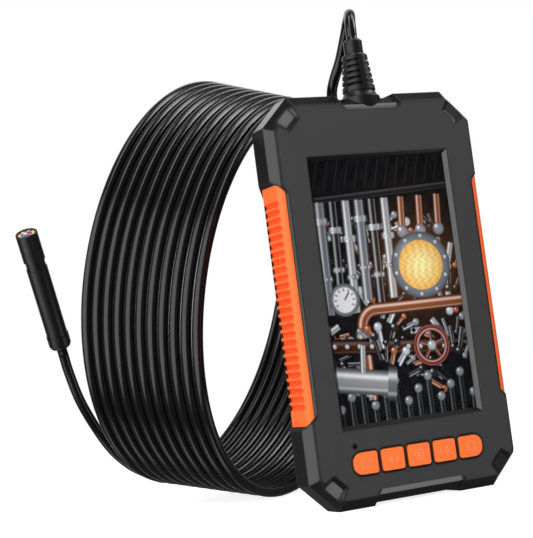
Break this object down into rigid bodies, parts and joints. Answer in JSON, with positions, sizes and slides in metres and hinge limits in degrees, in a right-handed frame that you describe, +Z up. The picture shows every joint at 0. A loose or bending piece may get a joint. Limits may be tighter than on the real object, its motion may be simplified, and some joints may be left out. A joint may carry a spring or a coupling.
{
  "type": "inspection camera",
  "caption": "Handheld inspection camera: rugged octagonal handset with tall screen and button row, ribbed cable boot, coiled semi-rigid cable and slim camera head.",
  "frame": {"origin": "on the floor under the middle of the standing handset", "axes": "+X to the right of someone who looks at the screen, +Y away from them, through the handset to the coil, +Z up along the screen to the cable boot"},
  "size_m": [0.1809, 0.1874, 0.1848],
  "materials": {
    "shell": "fine matt moulded grain, dark grey",
    "grip_rubber": "satin orange soft-touch",
    "button_plastic": "satin orange",
    "black_rubber": "matt black",
    "window_glass": "clear polished",
    "display": "lit picture",
    "bright_steel": "plain sheet",
    "black_steel": "black oxide",
    "foam": "open-cell foam",
    "flex_film": "amber film",
    "black_plastic": "satin black",
    "white_plastic": "satin off-white",
    "board": "solder-resist green",
    "battery_wrap": "blue film",
    "lamp": "yellow phosphor",
    "cable_jacket": "smooth black jacket",
    "head_metal": "black coated",
    "sensor": "dark glassy",
    "copper": "drawn wire"
  },
  "bodies": {
    "handset": {"front_shell": "shell", "rear_shell": "shell", "case_seal": "black_rubber", "left_grip": "grip_rubber", "right_grip": "grip_rubber", "screen_window": "window_glass", "display_gasket": "black_rubber", "lcd_panel": "display", "lcd_tray": "bright_steel", "display_pads": "foam", "display_flex": "flex_film", "key_switches": "white_plastic", "key_board": "board", "main_board": "board", "board_chips": "black_plastic", "shield_can": "bright_steel", "battery_pack": "battery_wrap", "battery_pads": "foam", "usb_socket": "bright_steel", "card_socket": "bright_steel", "cover_pin": "bright_steel", "indicator_lens": "white_plastic", "indicator_lamp": "lamp", "case_screws": "black_steel", "board_screws": "bright_steel", "cable_boot": "black_rubber", "boot_clamp": "bright_steel", "clamp_screws": "bright_steel", "inner_cable": "cable_jacket", "cable_plug": "white_plastic", "cable_header": "white_plastic", "cable_lead": "cable_jacket", "cable_coil": "cable_jacket", "cable_tail": "cable_jacket", "head_cap": "head_metal", "head_barrel": "head_metal", "head_ferrule": "head_metal", "head_seal": "black_rubber", "head_window": "window_glass", "lens_barrel": "black_plastic", "image_sensor": "sensor", "sensor_board": "board", "lamp_board": "white_plastic", "head_lamps": "lamp", "head_wires": "copper"},
    "picture_key": {"picture_button": "button_plastic", "picture_stem": "black_plastic"},
    "left_key": {"left_button": "button_plastic", "left_stem": "black_plastic"},
    "ok_key": {"ok_button": "button_plastic", "ok_stem": "black_plastic"},
    "right_key": {"right_button": "button_plastic", "right_stem": "black_plastic"},
    "home_key": {"home_button": "button_plastic", "home_stem": "black_plastic"},
    "card": {"memory_card": "black_plastic"},
    "cover": {"port_cover": "black_rubber"}
  },
  "joints": [
    {"name": "picture_press", "type": "slide", "parent": "handset", "child": "picture_key", "axis": [0, 1, 0], "range_m": [0, 0.0008], "stiffness_N_per_m": 1500},
    {"name": "left_press", "type": "slide", "parent": "handset", "child": "left_key", "axis": [0, 1, 0], "range_m": [0, 0.0008], "stiffness_N_per_m": 1500},
    {"name": "ok_press", "type": "slide", "parent": "handset", "child": "ok_key", "axis": [0, 1, 0], "range_m": [0, 0.0008], "stiffness_N_per_m": 1500},
    {"name": "right_press", "type": "slide", "parent": "handset", "child": "right_key", "axis": [0, 1, 0], "range_m": [0, 0.0008], "stiffness_N_per_m": 1500},
    {"name": "home_press", "type": "slide", "parent": "handset", "child": "home_key", "axis": [0, 1, 0], "range_m": [0, 0.0008], "stiffness_N_per_m": 1500},
    {"name": "card_eject", "type": "slide", "parent": "handset", "child": "card", "axis": [0, 0, 1], "range_m": [0, 0.002]},
    {"name": "cover_swing", "type": "hinge", "parent": "handset", "child": "cover", "pos_m": [0.0215, 0.003, 0.1481], "axis": [-1, 0, 0], "range_deg": [0, 95]}
  ]
}
